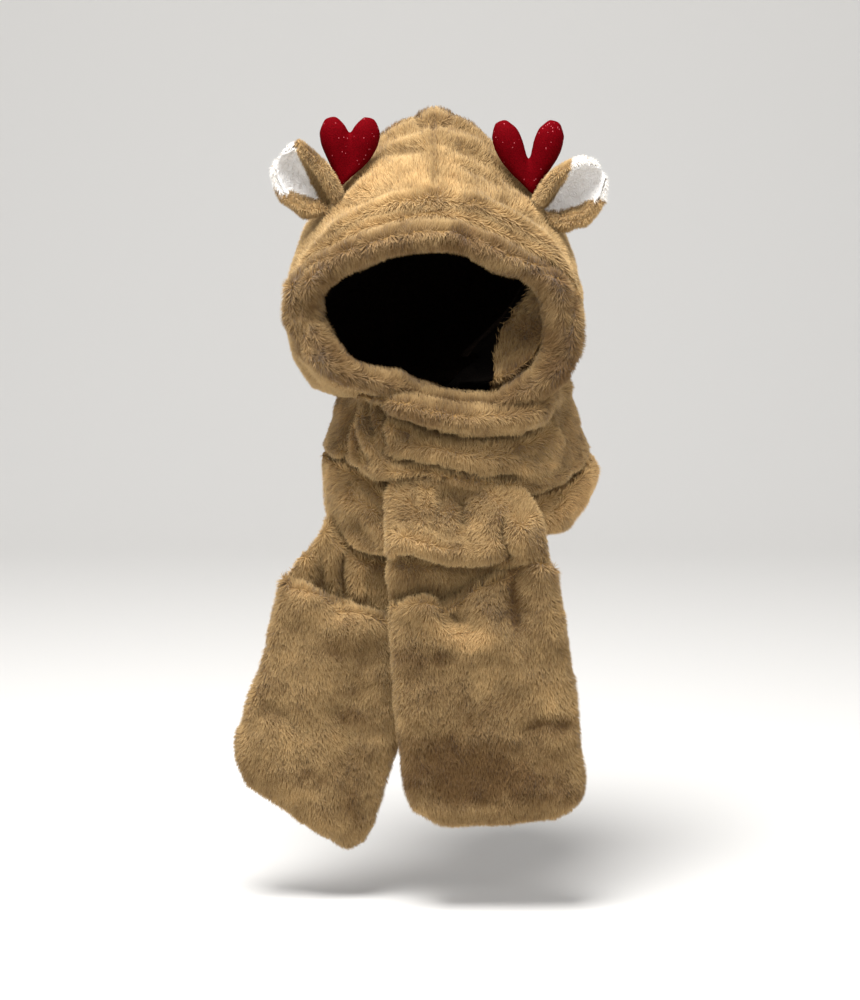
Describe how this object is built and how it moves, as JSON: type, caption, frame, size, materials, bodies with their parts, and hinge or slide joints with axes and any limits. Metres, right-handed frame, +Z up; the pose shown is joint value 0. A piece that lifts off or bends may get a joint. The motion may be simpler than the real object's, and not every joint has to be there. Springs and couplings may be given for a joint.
{
  "type": "animal hood scarf",
  "caption": "Plush hood with folded ears and felt antlers, whose neck wraps round into a scarf with a pocket on each hanging end.",
  "frame": {"origin": "inside of the crown, where the hood rests on the top of a head", "axes": "+Z up, the face opening towards -Y, +X to the viewer's right"},
  "size_m": [0.3645, 0.2908, 0.7264],
  "materials": {
    "plush_tan": "short dense faux fur with brushed nap",
    "plush_white": "silky short pile, crinkled",
    "felt_red": "felt with a fine glitter",
    "lining_dark": "matt dark cloth"
  },
  "bodies": {
    "root": {"hood_panel_left": "plush_tan", "hood_panel_right": "plush_tan", "hood_lining": "lining_dark", "brim_roll": "plush_tan", "wrap_upper": "plush_tan", "wrap_lower": "plush_tan", "tail_right": "plush_tan", "pocket_right": "plush_tan", "tail_left": "plush_tan", "pocket_left": "plush_tan", "ear_left": "plush_tan", "ear_right": "plush_tan", "ear_lining_left": "plush_white", "ear_lining_right": "plush_white", "antler_left": "felt_red", "antler_right": "felt_red"}
  },
  "joints": []
}
